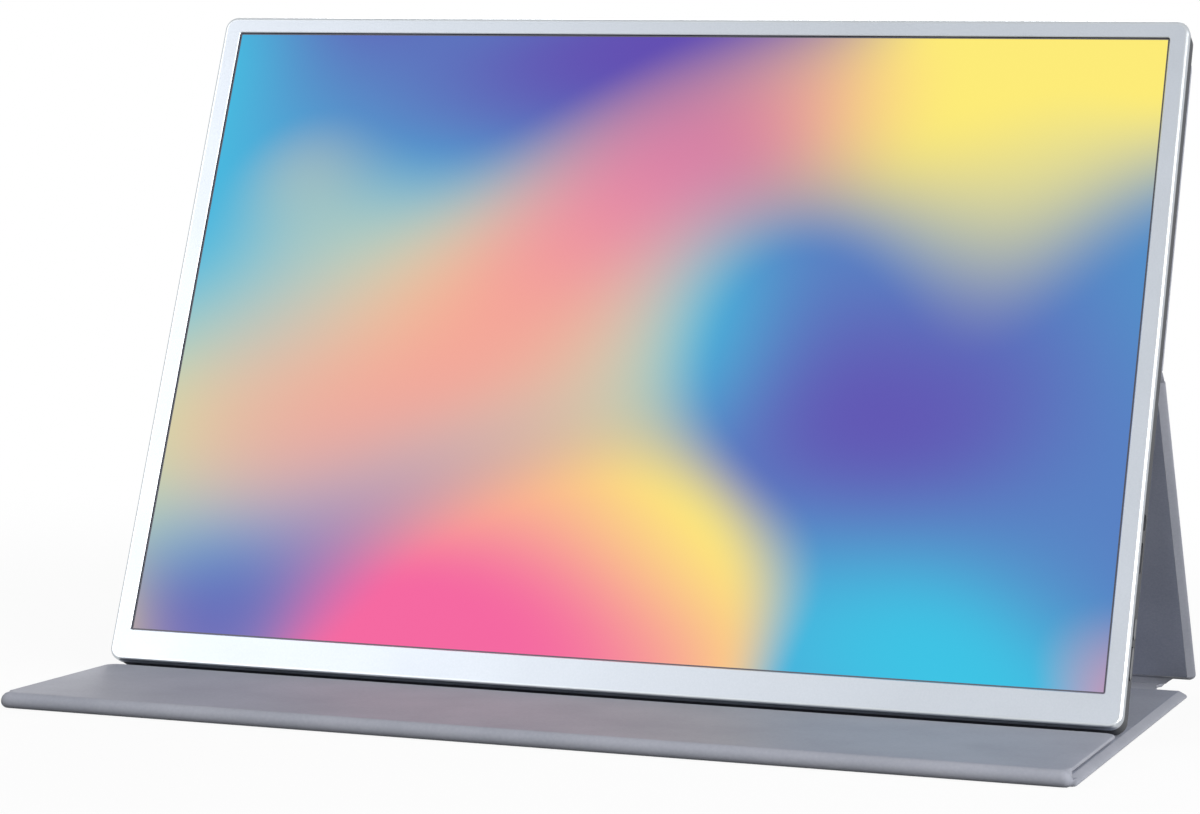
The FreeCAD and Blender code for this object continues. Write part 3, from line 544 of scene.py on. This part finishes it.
def fold_tree():
    """A thick sheet along a path, its width eased from start to waist to end."""
    tree = new_tree("fold_strip", {"Start Half Width": "Float", "Waist Half Width": "Float",
                                   "End Half Width": "Float", "Half Thickness": "Float", "End Round": "Float",
                                   "Finish": "Material"})
    given = add(tree, "NodeGroupInput").outputs
    path = add(tree, "GeometryNodeMeshToCurve", {"Mesh": given["Geometry"]})
    sheet = add(tree, "GeometryNodeMeshGrid", {"Size X": 2.0, "Size Y": 2.0, "Vertices X": GRID_ACROSS,
                                               "Vertices Y": GRID_ALONG}).outputs["Mesh"]
    spot = add(tree, "ShaderNodeSeparateXYZ", {0: add(tree, "GeometryNodeInputPosition")}).outputs
    # Along the path: the first and last rows double the next ones, to close the sheet's edges
    row = 2.0 / (GRID_ALONG - 1)
    along = add(tree, "ShaderNodeMapRange", {"Value": spot["Y"], "From Min": row - 1.0,
                                             "From Max": 1.0 - row})
    beside = maths(tree, "ABSOLUTE", spot["Y"])
    inner = maths(tree, "LESS_THAN", beside, 1.0 - row / 2)
    sample = add(tree, "GeometryNodeSampleCurve", {"Curves": path, "Factor": along}, mode="FACTOR").outputs
    # Across the path: rows crowd together at the two ends, where the edge is rounded
    rest = maths(tree, "SUBTRACT", 1.0, maths(tree, "ABSOLUTE", spot["X"]))
    margin = maths(tree, "POWER", rest, END_CROWDING)
    share = maths(tree, "SUBTRACT", 1.0, margin)
    signed = maths(tree, "MULTIPLY", share, maths(tree, "SIGN", spot["X"]))
    widths = [given[end + " Half Width"] for end in ("Start", "Waist", "End")]
    first, second = [add(tree, "ShaderNodeMix", {"Factor": along, "A": a, "B": b})
                     for a, b in zip(widths, widths[1:])]
    half = add(tree, "ShaderNodeMix", {"Factor": along, "A": first, "B": second})
    out = add(tree, "ShaderNodeCombineXYZ", {0: maths(tree, "MULTIPLY", signed, half)})
    place = add(tree, "ShaderNodeVectorMath", {0: sample["Position"], 1: out}, operation="ADD")
    # Lift of each face from the middle of the sheet; the rounding fades towards the joined panels
    depth = maths(tree, "MULTIPLY", margin, half)
    corner = add(tree, "ShaderNodeMapRange", {"Value": beside, "From Min": ROUND_FADE,
                                              "To Min": given["End Round"], "To Max": LEAST_ROUND},
                 interpolation_type="SMOOTHSTEP")
    near = add(tree, "ShaderNodeMapRange", {"Value": depth, "From Max": corner, "To Min": 1.0, "To Max": 0.0})
    square = maths(tree, "MULTIPLY", near, near)
    round_share = maths(tree, "SQRT", maths(tree, "SUBTRACT", 1.0, square))
    closed = maths(tree, "MULTIPLY", round_share, inner)
    outer = maths(tree, "MULTIPLY_ADD", closed, 2.0, -1.0)
    normal = add(tree, "ShaderNodeVectorMath", {0: sample["Tangent"], 1: tuple(ACROSS)},
                 operation="CROSS_PRODUCT")
    faces = []
    for level in (outer, -1.0):
        lift = maths(tree, "MULTIPLY", given["Half Thickness"], level)
        raised = add(tree, "ShaderNodeVectorMath", {0: normal, "Scale": lift}, operation="SCALE")
        moved = add(tree, "ShaderNodeVectorMath", {0: place, 1: raised}, operation="ADD")
        faces.append(add(tree, "GeometryNodeSetPosition", {"Geometry": sheet, "Position": moved}))
    turned = add(tree, "GeometryNodeFlipFaces", {"Mesh": faces[1]})
    joined = add(tree, "GeometryNodeJoinGeometry", {0: [faces[0], turned]})
    welded = add(tree, "GeometryNodeMergeByDistance", {"Geometry": joined, "Distance": WELD})
    real = add(tree, "GeometryNodeRealizeInstances", {"Geometry": welded})
    dressed = add(tree, "GeometryNodeSetMaterial", {"Geometry": real, "Material": given["Finish"]})
    add(tree, "NodeGroupOutput", {0: dressed})
    return tree


def grow(name, tree, seed, settings):
    """Run a tree on a seed mesh and keep the result as a plain mesh."""
    piece = bpy.data.objects.new(name, seed)
    scene.collection.objects.link(piece)
    modifier = piece.modifiers.new("grow", "NODES")
    modifier.node_group = tree
    for socket in tree.interface.items_tree:
        if socket.in_out == "INPUT" and socket.name in settings:
            modifier[socket.identifier] = settings[socket.name]
    grown = bpy.data.meshes.new_from_object(piece.evaluated_get(bpy.context.evaluated_depsgraph_get()))
    bpy.data.objects.remove(piece)
    shape = bmesh.new()
    shape.from_mesh(grown)
    finishes = list(grown.materials)
    bpy.data.meshes.remove(grown)
    return keep(name, shape, *finishes)


fold = fold_tree()
print("fold tree with", len(fold.nodes), "nodes")

# %% [markdown]
# The paths lie on the leather's side of each fold. The front fold goes half round its axis and is as thick as
# the panels that it joins. The heel turns up into the leg, the rear fold is nearly flat, and the one behind
# the monitor is a valley. At the spine the strips are narrower than the panels, which leaves the notch there.

# %% Folds
FRONT_SHEET = 1.16 * MM
SOFT_SHEET = 0.55 * MM
TUCK = 0.6 * MM
FRONT_DRAW = 0.5 * MM
FRONT_ROUND = 2.2 * MM
SOFT_ROUND = 0.6 * MM
SPINE_DRAW = 1.5 * MM
HEEL_DRAW = 4.0 * MM
HEEL_SPREAD = 2.6 * MM
CREASE_INSET = 0.2 * MM
ARC_POINTS = 16
base_half = reach("base_skin", ACROSS)[1]
lip_half = reach("lip_skin", ACROSS)[1]
plate_half = reach("plate_skin", ACROSS)[1]
spine_half = reach("spine_strip", ACROSS)[1]


def about(axis, arm, turn):
    """A point that an arm reaches when it is turned about an axis across the object."""
    return axis + Matrix.Rotation(turn, 3, "X") @ arm


def arc(axis, arm, degrees):
    """Points of an arc about an axis, from the arm's own place."""
    return [about(axis, arm, math.radians(degrees) * step / ARC_POINTS) for step in range(ARC_POINTS + 1)]


def valley(start, middle, end):
    """Points of a smooth bend that leans towards its middle point."""
    shares = [step / ARC_POINTS for step in range(ARC_POINTS + 1)]
    return [start * (1 - s) ** 2 + middle * 2 * s * (1 - s) + end * s ** 2 for s in shares]


def fold_piece(name, node, path, sheet, rounding, widths):
    """Grow a fold along a path and let it stand in for its CAD node."""
    seed = bpy.data.meshes.new(name)
    seed.from_pydata(path, [(here, here + 1) for here in range(len(path) - 1)], [])
    start_half, waist_half, end_half = widths
    piece = grow(name, fold, seed, {
        "Start Half Width": start_half, "Waist Half Width": waist_half, "End Half Width": end_half,
        "Half Thickness": sheet, "End Round": rounding, "Finish": leather})
    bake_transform(piece)
    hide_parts(node)
    print(name, len(piece.data.polygons), "faces")


roll_arm = Vector((0, 0, FRONT_SHEET - front_axis.z))
roll_start = AWAY * (reach("base_skin", AWAY)[0] - front_axis.y)
roll_path = [front_axis - roll_arm + roll_start, *arc(front_axis, -roll_arm, 180),
             front_axis + roll_arm + roll_start]
fold_piece("front_fold", "front_roll", roll_path, FRONT_SHEET, FRONT_ROUND,
           (lip_half, base_half - FRONT_DRAW, base_half))

flat_arm = Vector((0, 0, SOFT_SHEET - rear_axis.z))
spine_arm = along_spine.cross(ACROSS) * (rear_axis.z - SOFT_SHEET)
base_edge = AWAY * (reach("base_skin", AWAY)[1] - TUCK) + ABOVE * SOFT_SHEET
spine_middle = (rear_axis + heel_axis) / 2 + spine_arm
drawn_half = spine_half - SPINE_DRAW
fold_piece("rear_fold", "spine_strip", valley(base_edge, rear_axis + flat_arm, spine_middle),
           SOFT_SHEET, SOFT_ROUND, (spine_half, drawn_half, drawn_half))

leg_arm = ACROSS.cross(down_leg) * spine_arm.length
heel_turn = math.degrees(spine_arm.angle(leg_arm))
leg_foot = heel_axis + leg_arm + down_leg * (reach("leg_skin", down_leg)[1] - heel_axis.dot(down_leg) - TUCK)
fold_piece("heel_bend", "heel_fold", [spine_middle, *arc(heel_axis, spine_arm, heel_turn), leg_foot],
           SOFT_SHEET, SOFT_ROUND, (drawn_half, spine_half - HEEL_DRAW, spine_half + HEEL_SPREAD))

plate_arm = behind * spine_arm.length
leg_gap = reach("leg_skin", down_leg)[0] - hinge_axis.dot(down_leg)
plate_gap = reach("plate_skin", upward)[0] - hinge_axis.dot(upward)
leg_head = hinge_axis + leg_arm + down_leg * (leg_gap + TUCK)
plate_foot = hinge_axis + plate_arm + upward * (plate_gap + TUCK)
crease = (leg_arm + plate_arm).normalized() * spine_arm.length / math.cos(leg_arm.angle(plate_arm) / 2)
crease_half = base_half - CREASE_INSET
fold_piece("back_crease", "back_fold", valley(leg_head, hinge_axis + crease, plate_foot),
           SOFT_SHEET, SOFT_ROUND, (crease_half, crease_half, plate_half - CREASE_INSET))

# %% [markdown]
# ## Front frame
# The frame is stamped aluminium, blasted and anodised to a satin silver, and its outer edge is rolled round
# and polished, so it mirrors the studio in a thin line: grey along the top and bright along the right. So the
# frame gets two finishes, one for the faces and one for the edges, and a dark band at the back of its side
# wall that is painted shade, standing for the seam between the frame and the rear shell. The skin goes from
# that band over the edge and the face to the window, and back along the inside.

# %% Front frame
EDGE_ROUND = 1.0 * MM
# Width of the dark band at the back of the side wall: painted shade for the seam to the rear shell
SEAM_SHADE_BAND = 0.6 * MM
FACE = 0.8 * MM
WALL = 1.3 * MM
WINDOW_EASE = 0.2 * MM
FRAME_CORNER = 4.0 * MM
WINDOW_CORNER = 0.6 * MM
FILM_GAP = 0.1 * MM
BLAST_GRAIN = 0.5
BLAST_STRENGTH = 0.06
SATIN_TINTS = ("#AAB0B8", "#B5BAC1")
SATIN_GLOSS = (0.32, 0.42)
POLISHED_TINTS = ("#B6BBC0", "#C2C7CB")
BUFFING = 4.0
# Dark colours of that band: painted shade of the seam between frame and rear shell, not a part of its own
SEAM_SHADE_TINTS = ("#26282B", "#34363A")
SATIN, POLISHED, SEAM_SHADE = range(3)


def anodised_aluminium():
    """A blasted grain in colour and relief, and a slow cloud in the gloss."""
    material, tree, shader = new_finish("satin_anodised_aluminium", Metallic=1.0)
    grain = noise(tree, BLAST_GRAIN, detail=2.0)
    wear(tree, shader, BaseColor=between(tree, grain, *SATIN_TINTS),
         Roughness=spread(tree, noise(tree, CLOUD, detail=2.0), *SATIN_GLOSS),
         Normal=relief(tree, grain, BLAST_STRENGTH))
    return material


frame_half = reach("front_frame", ACROSS)[1]
frame_height = frame_top - frame_foot
film_half = reach("screen_film", ACROSS)[1]
film_low, film_high = (edge - frame_foot for edge in reach("screen_film", upward))
film_front, film_back = (edge - frame_front for edge in reach("screen_film", behind))


def frame_loop(inset, depth):
    """The frame's outline, drawn in by an inset, at a depth behind its face."""
    outline = rounded_outline(frame_half - inset, inset, frame_height - inset, *[FRAME_CORNER - inset] * 2)
    return [(x, depth, z) for x, z in outline]


def window_loop(grown, depth):
    """The window's outline, grown all round, at a depth behind the face."""
    gap = FILM_GAP + grown
    outline = rounded_outline(film_half + gap, film_low - gap, film_high + gap, *[WINDOW_CORNER + grown] * 2)
    return [(x, depth, z) for x, z in outline]


def front_frame():
    """Loops from the painted seam shade round to the window and back, each with the next band's finish."""
    back = frame_back - frame_front
    edge = [frame_loop(inset, depth) for inset, depth in reversed(quarter_round(EDGE_ROUND))]
    bands = [(frame_loop(0.0, back), SEAM_SHADE), (frame_loop(0.0, back - SEAM_SHADE_BAND), SATIN)]
    bands += [(loop, POLISHED) for loop in edge]
    bands += [(frame_loop(EDGE_ROUND + WINDOW_EASE, 0.0), SATIN), (window_loop(2 * WINDOW_EASE, 0.0), SATIN)]
    bands += [(window_loop(WINDOW_EASE, 0.0), POLISHED), (window_loop(0.0, WINDOW_EASE), SATIN)]
    bands += [(window_loop(0.0, FACE), SATIN), (frame_loop(WALL, FACE), SATIN)]
    bands += [(frame_loop(WALL, back), SATIN)]
    loops, slots = zip(*bands)
    shape = skin(loops, monitor_home, closed=True, slots=slots)
    polished = two_tone("polished_aluminium_edge", POLISHED_TINTS, BUFFING, detail=3.0, Metallic=1.0,
                        Roughness=0.28)
    # The band's finish is painted shade of the seam between the frame and the rear shell
    seam_shade = two_tone("painted_seam_shade", SEAM_SHADE_TINTS, CLOUD, detail=3.0, Roughness=0.6)
    piece = keep("silver_frame", shape, anodised_aluminium(), polished, seam_shade)
    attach(piece, "monitor")
    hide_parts("front_frame")


front_frame()
print("frame", round(2 * frame_half / MM, 1), "by", round(frame_height / MM, 1), "mm")

# %% [markdown]
# ## Screen
# The display film has a dark printed border and is lit inside it. The picture is a plain colour study of soft
# patches: one slow noise pushes the places about, the channels of a second one mix two warm and two cool
# colours there, and the surface glows with the result. It has its own UV map, so the patches stay with the
# screen.

# %% Screen
BORDER = 0.45 * MM
BORDER_TINTS = ("#45444E", "#514F59")
UNLIT = "#08080A"
PRINTED, LIT = range(2)
PICTURE_WARM = ("#F2609C", "#FBE972")
PICTURE_COOL = ("#2FC0E2", "#5B44AE")
PICTURE_RATIO = 1.5
PICTURE_START = (2.6, 9.4, 0.0)
PICTURE_EDGES = (0.32, 0.32, 0.4)
PATCH = 1.3
DRIFT = 0.8
PICTURE_GLOW = 1.0


def lit_picture():
    """A dark film that glows with the picture."""
    material, tree, shader = new_finish("lit_picture", BaseColor=linear(UNLIT), Roughness=0.42,
                                        SpecularIORLevel=0.15, EmissionStrength=PICTURE_GLOW)
    chart = add(tree, "ShaderNodeUVMap", uv_map="picture")
    spot = add(tree, "ShaderNodeVectorMath", {0: chart, 1: (PICTURE_RATIO, 1.0, 0.0), 2: PICTURE_START},
               operation="MULTIPLY_ADD")
    # One noise pushes the places about, and the three channels of a second one mix the colours there
    push = add(tree, "ShaderNodeTexNoise", {"Vector": spot, "Scale": PATCH, "Detail": 0.0}).outputs["Color"]
    drift = add(tree, "ShaderNodeVectorMath", {0: push, 1: (DRIFT,) * 3, 2: spot}, operation="MULTIPLY_ADD")
    patches = add(tree, "ShaderNodeTexNoise", {"Vector": drift, "Scale": PATCH, "Detail": 0.0})
    channels = add(tree, "ShaderNodeSeparateColor", {0: patches.outputs["Color"]}).outputs
    first, second, third = [
        add(tree, "ShaderNodeMapRange", {"Value": channel, "From Min": edge, "From Max": 1.0 - edge},
            interpolation_type="SMOOTHSTEP")
        for channel, edge in zip(channels, PICTURE_EDGES)]
    warm = between(tree, first, *PICTURE_WARM)
    cool = between(tree, second, *PICTURE_COOL)
    wear(tree, shader, EmissionColor=mix(tree, third, warm, cool))
    return material


def display_film():
    """A thin sheet: back, sides, a printed border and the lit picture inside it."""
    loops = []
    for inset, depth in ((0.0, film_back), (0.0, film_front), (BORDER, film_front)):
        half, low, high = film_half - inset, film_low + inset, film_high - inset
        loops.append([(half, depth, low), (half, depth, high), (-half, depth, high), (-half, depth, low)])
    shape = skin(loops, monitor_home, slots=[PRINTED] * len(loops))
    shape.faces.ensure_lookup_table()
    picture = shape.faces[-1]
    picture.material_index = LIT
    chart = shape.loops.layers.uv.new("picture")
    here = monitor_home.inverted()
    for corner in picture.loops:
        spot = here @ corner.vert.co
        corner[chart].uv = (spot.x / (2 * film_half) + 0.5, (spot.z - film_low) / (film_high - film_low))
    border = two_tone("black_border_print", BORDER_TINTS, NAP, detail=2.0, Roughness=0.4)
    piece = keep("display_film", shape, border, lit_picture())
    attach(piece, "monitor")
    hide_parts("screen_film")


display_film()
picture_size = (2 * (film_half - BORDER), film_high - film_low - 2 * BORDER)
print("picture of", [round(edge / MM, 1) for edge in picture_size], "mm")

# %% [markdown]
# ## Finishes of the CAD pieces
# The rear shell, the keys, the sockets and everything inside keep their CAD shape and get a finish each. Most
# are moulded plastic, plated sheet or a printed board, and differ in colour, roughness and in the size of the
# pattern, so one function makes them all from a short row of values. What is inside can't be seen, but it is
# there when someone takes the part apart.

# %% Finishes of the CAD pieces
GLOSS_SPREAD = (0.85, 1.15)
FINISHES = {
    # dark colour, light colour, metallic, roughness, pattern size in mm, bump strength
    "textured_shell_plastic": ("#2E3034", "#383A3F", 0.0, 0.7, 0.5, 0.25),
    "smooth_key_plastic": ("#3A3C41", "#44474C", 0.0, 0.4, 1.5, 0.05),
    "moulded_black_plastic": ("#141416", "#1E1F22", 0.0, 0.45, 0.8, 0.1),
    "plated_steel": ("#A3A6AA", "#BCBFC3", 1.0, 0.3, 3.0, 0.02),
    "gold_plate": ("#C79A3B", "#DDB65A", 1.0, 0.25, 1.0, 0.0),
    "solder_mask": ("#0F3D22", "#17552F", 0.0, 0.35, 2.0, 0.15),
    "clear_acrylic": ("#DDE6EA", "#EAF1F4", 0.0, 0.08, 20.0, 0.0),
    "white_film": ("#E4E5E6", "#F2F3F4", 0.0, 0.6, 8.0, 0.02),
    "panel_glass": ("#24282C", "#2E3338", 0.0, 0.1, 30.0, 0.0),
    "closed_cell_foam": ("#101011", "#1B1B1D", 0.0, 0.9, 0.4, 0.4),
    "flat_cable_film": ("#B08A3E", "#C6A257", 0.0, 0.35, 1.0, 0.05),
    "stamped_tray": ("#9FA2A6", "#AEB1B5", 1.0, 0.42, 6.0, 0.03),
    "pressed_board": ("#6E6A63", "#7D7972", 0.0, 0.85, 0.7, 0.3),
    "rubbery_adhesive": ("#4A4A4D", "#58585B", 0.0, 0.7, 1.2, 0.1),
}
WORN_BY = {
    "textured_shell_plastic": ["rear_cover"],
    "smooth_key_plastic": ["power_button", "menu_rocker"],
    "moulded_black_plastic": ["audio_jack", "speaker_left", "speaker_right", "controller_chips",
                              "push_switches"],
    "plated_steel": ["usb_c_socket_right", "usb_c_socket_left", "mini_hdmi_socket", "board_screws",
                     "rocker_pin", "base_magnets", "lip_magnets"],
    "solder_mask": ["driver_board", "controller_board", "port_board", "led_strip"],
    "clear_acrylic": ["light_guide"],
    "white_film": ["diffuser_films", "reflector_sheet"],
    "panel_glass": ["lcd_glass"],
    "closed_cell_foam": ["foam_tape"],
    "flat_cable_film": ["display_cable", "port_cable"],
    "stamped_tray": ["backlight_tray"],
    "pressed_board": ["plate_board", "leg_board", "base_board", "lip_board"],
    "rubbery_adhesive": ["adhesive_sheet"],
}


def plain_finish(name):
    """A surface whose colour, roughness and bump follow one fine, even noise."""
    dark, light, metallic, roughness, size, strength = FINISHES[name]
    material, tree, shader = new_finish(name, Metallic=metallic)
    grain = noise(tree, size, detail=4.0)
    low, high = [share * roughness for share in GLOSS_SPREAD]
    wear(tree, shader, BaseColor=between(tree, grain, dark, light), Roughness=spread(tree, grain, low, high),
         Normal=relief(tree, grain, strength))
    return material


finishes = {name: plain_finish(name) for name in FINISHES}
for name, wearers in WORN_BY.items():
    for wearer in wearers:
        nodes[wearer].data.materials.clear()
        nodes[wearer].data.materials.append(finishes[name])
print(len(finishes), "finishes on", sum(map(len, WORN_BY.values())), "CAD nodes")

# %% [markdown]
# ## Contacts in the sockets
# A socket's tongue carries a row of thin gold contacts on each face. They repeat at an even pitch, so a small
# tree sets one flat bar on each point of a line, once for each face of the tongue.

# %% Contacts
CONTACT = Vector((3.6, 0.26, 0.04)) * MM
CONTACT_SETBACK = 0.4 * MM
SOCKET_FLOOR = 1.0 * MM
TONGUE = 0.7 * MM
CONTACT_ROWS = {
    # side that the socket opens to, contacts on each face, pitch
    "usb_c_socket_right": (1, 12, 0.5 * MM),
    "usb_c_socket_left": (-1, 12, 0.5 * MM),
    "mini_hdmi_socket": (-1, 10, 0.8 * MM),
}


def contact_tree():
    """Bars at an even pitch on both faces of a tongue."""
    tree = new_tree("contact_row", {"Count": "Int", "Pitch": "Float", "Bar": "Vector", "Tongue": "Float",
                                    "Finish": "Material"})
    given = add(tree, "NodeGroupInput").outputs
    span = maths(tree, "MULTIPLY", maths(tree, "ADD", given["Count"], -1.0), given["Pitch"])
    first = maths(tree, "MULTIPLY", span, -0.5)
    step = add(tree, "ShaderNodeCombineXYZ", {"Y": given["Pitch"]})
    bar = add(tree, "GeometryNodeMeshCube", {"Size": given["Bar"]}).outputs["Mesh"]
    rows = []
    for face in (-0.5, 0.5):
        level = maths(tree, "MULTIPLY", given["Tongue"], face)
        start = add(tree, "ShaderNodeCombineXYZ", {"Y": first, "Z": level})
        points = add(tree, "GeometryNodeMeshLine", {"Count": given["Count"], "Start Location": start,
                                                    "Offset": step})
        rows.append(add(tree, "GeometryNodeInstanceOnPoints", {"Points": points, "Instance": bar}))
    both = add(tree, "GeometryNodeJoinGeometry", {0: rows})
    real = add(tree, "GeometryNodeRealizeInstances", {"Geometry": both})
    dressed = add(tree, "GeometryNodeSetMaterial", {"Geometry": real, "Material": given["Finish"]})
    add(tree, "NodeGroupOutput", {0: dressed})
    return tree


contact_row = contact_tree()
for socket, (side, count, pitch) in CONTACT_ROWS.items():
    outward = ACROSS * side
    mouth = reach(socket, outward)[1]
    middle = [sum(reach(socket, direction)) / 2 for direction in (upward, behind)]
    tip = outward * (mouth - SOCKET_FLOOR - CONTACT_SETBACK - CONTACT.x / 2)
    piece = grow(socket + "_contacts", contact_row, bpy.data.meshes.new(socket + "_contacts"), {
        "Count": count, "Pitch": pitch, "Bar": CONTACT, "Tongue": TONGUE, "Finish": finishes["gold_plate"]})
    home = axes(outward, upward, outward.cross(upward), tip + upward * middle[0] + behind * middle[1])
    piece.data.transform(home)
    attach(piece, "monitor")
    print(socket, 2 * count, "contacts")
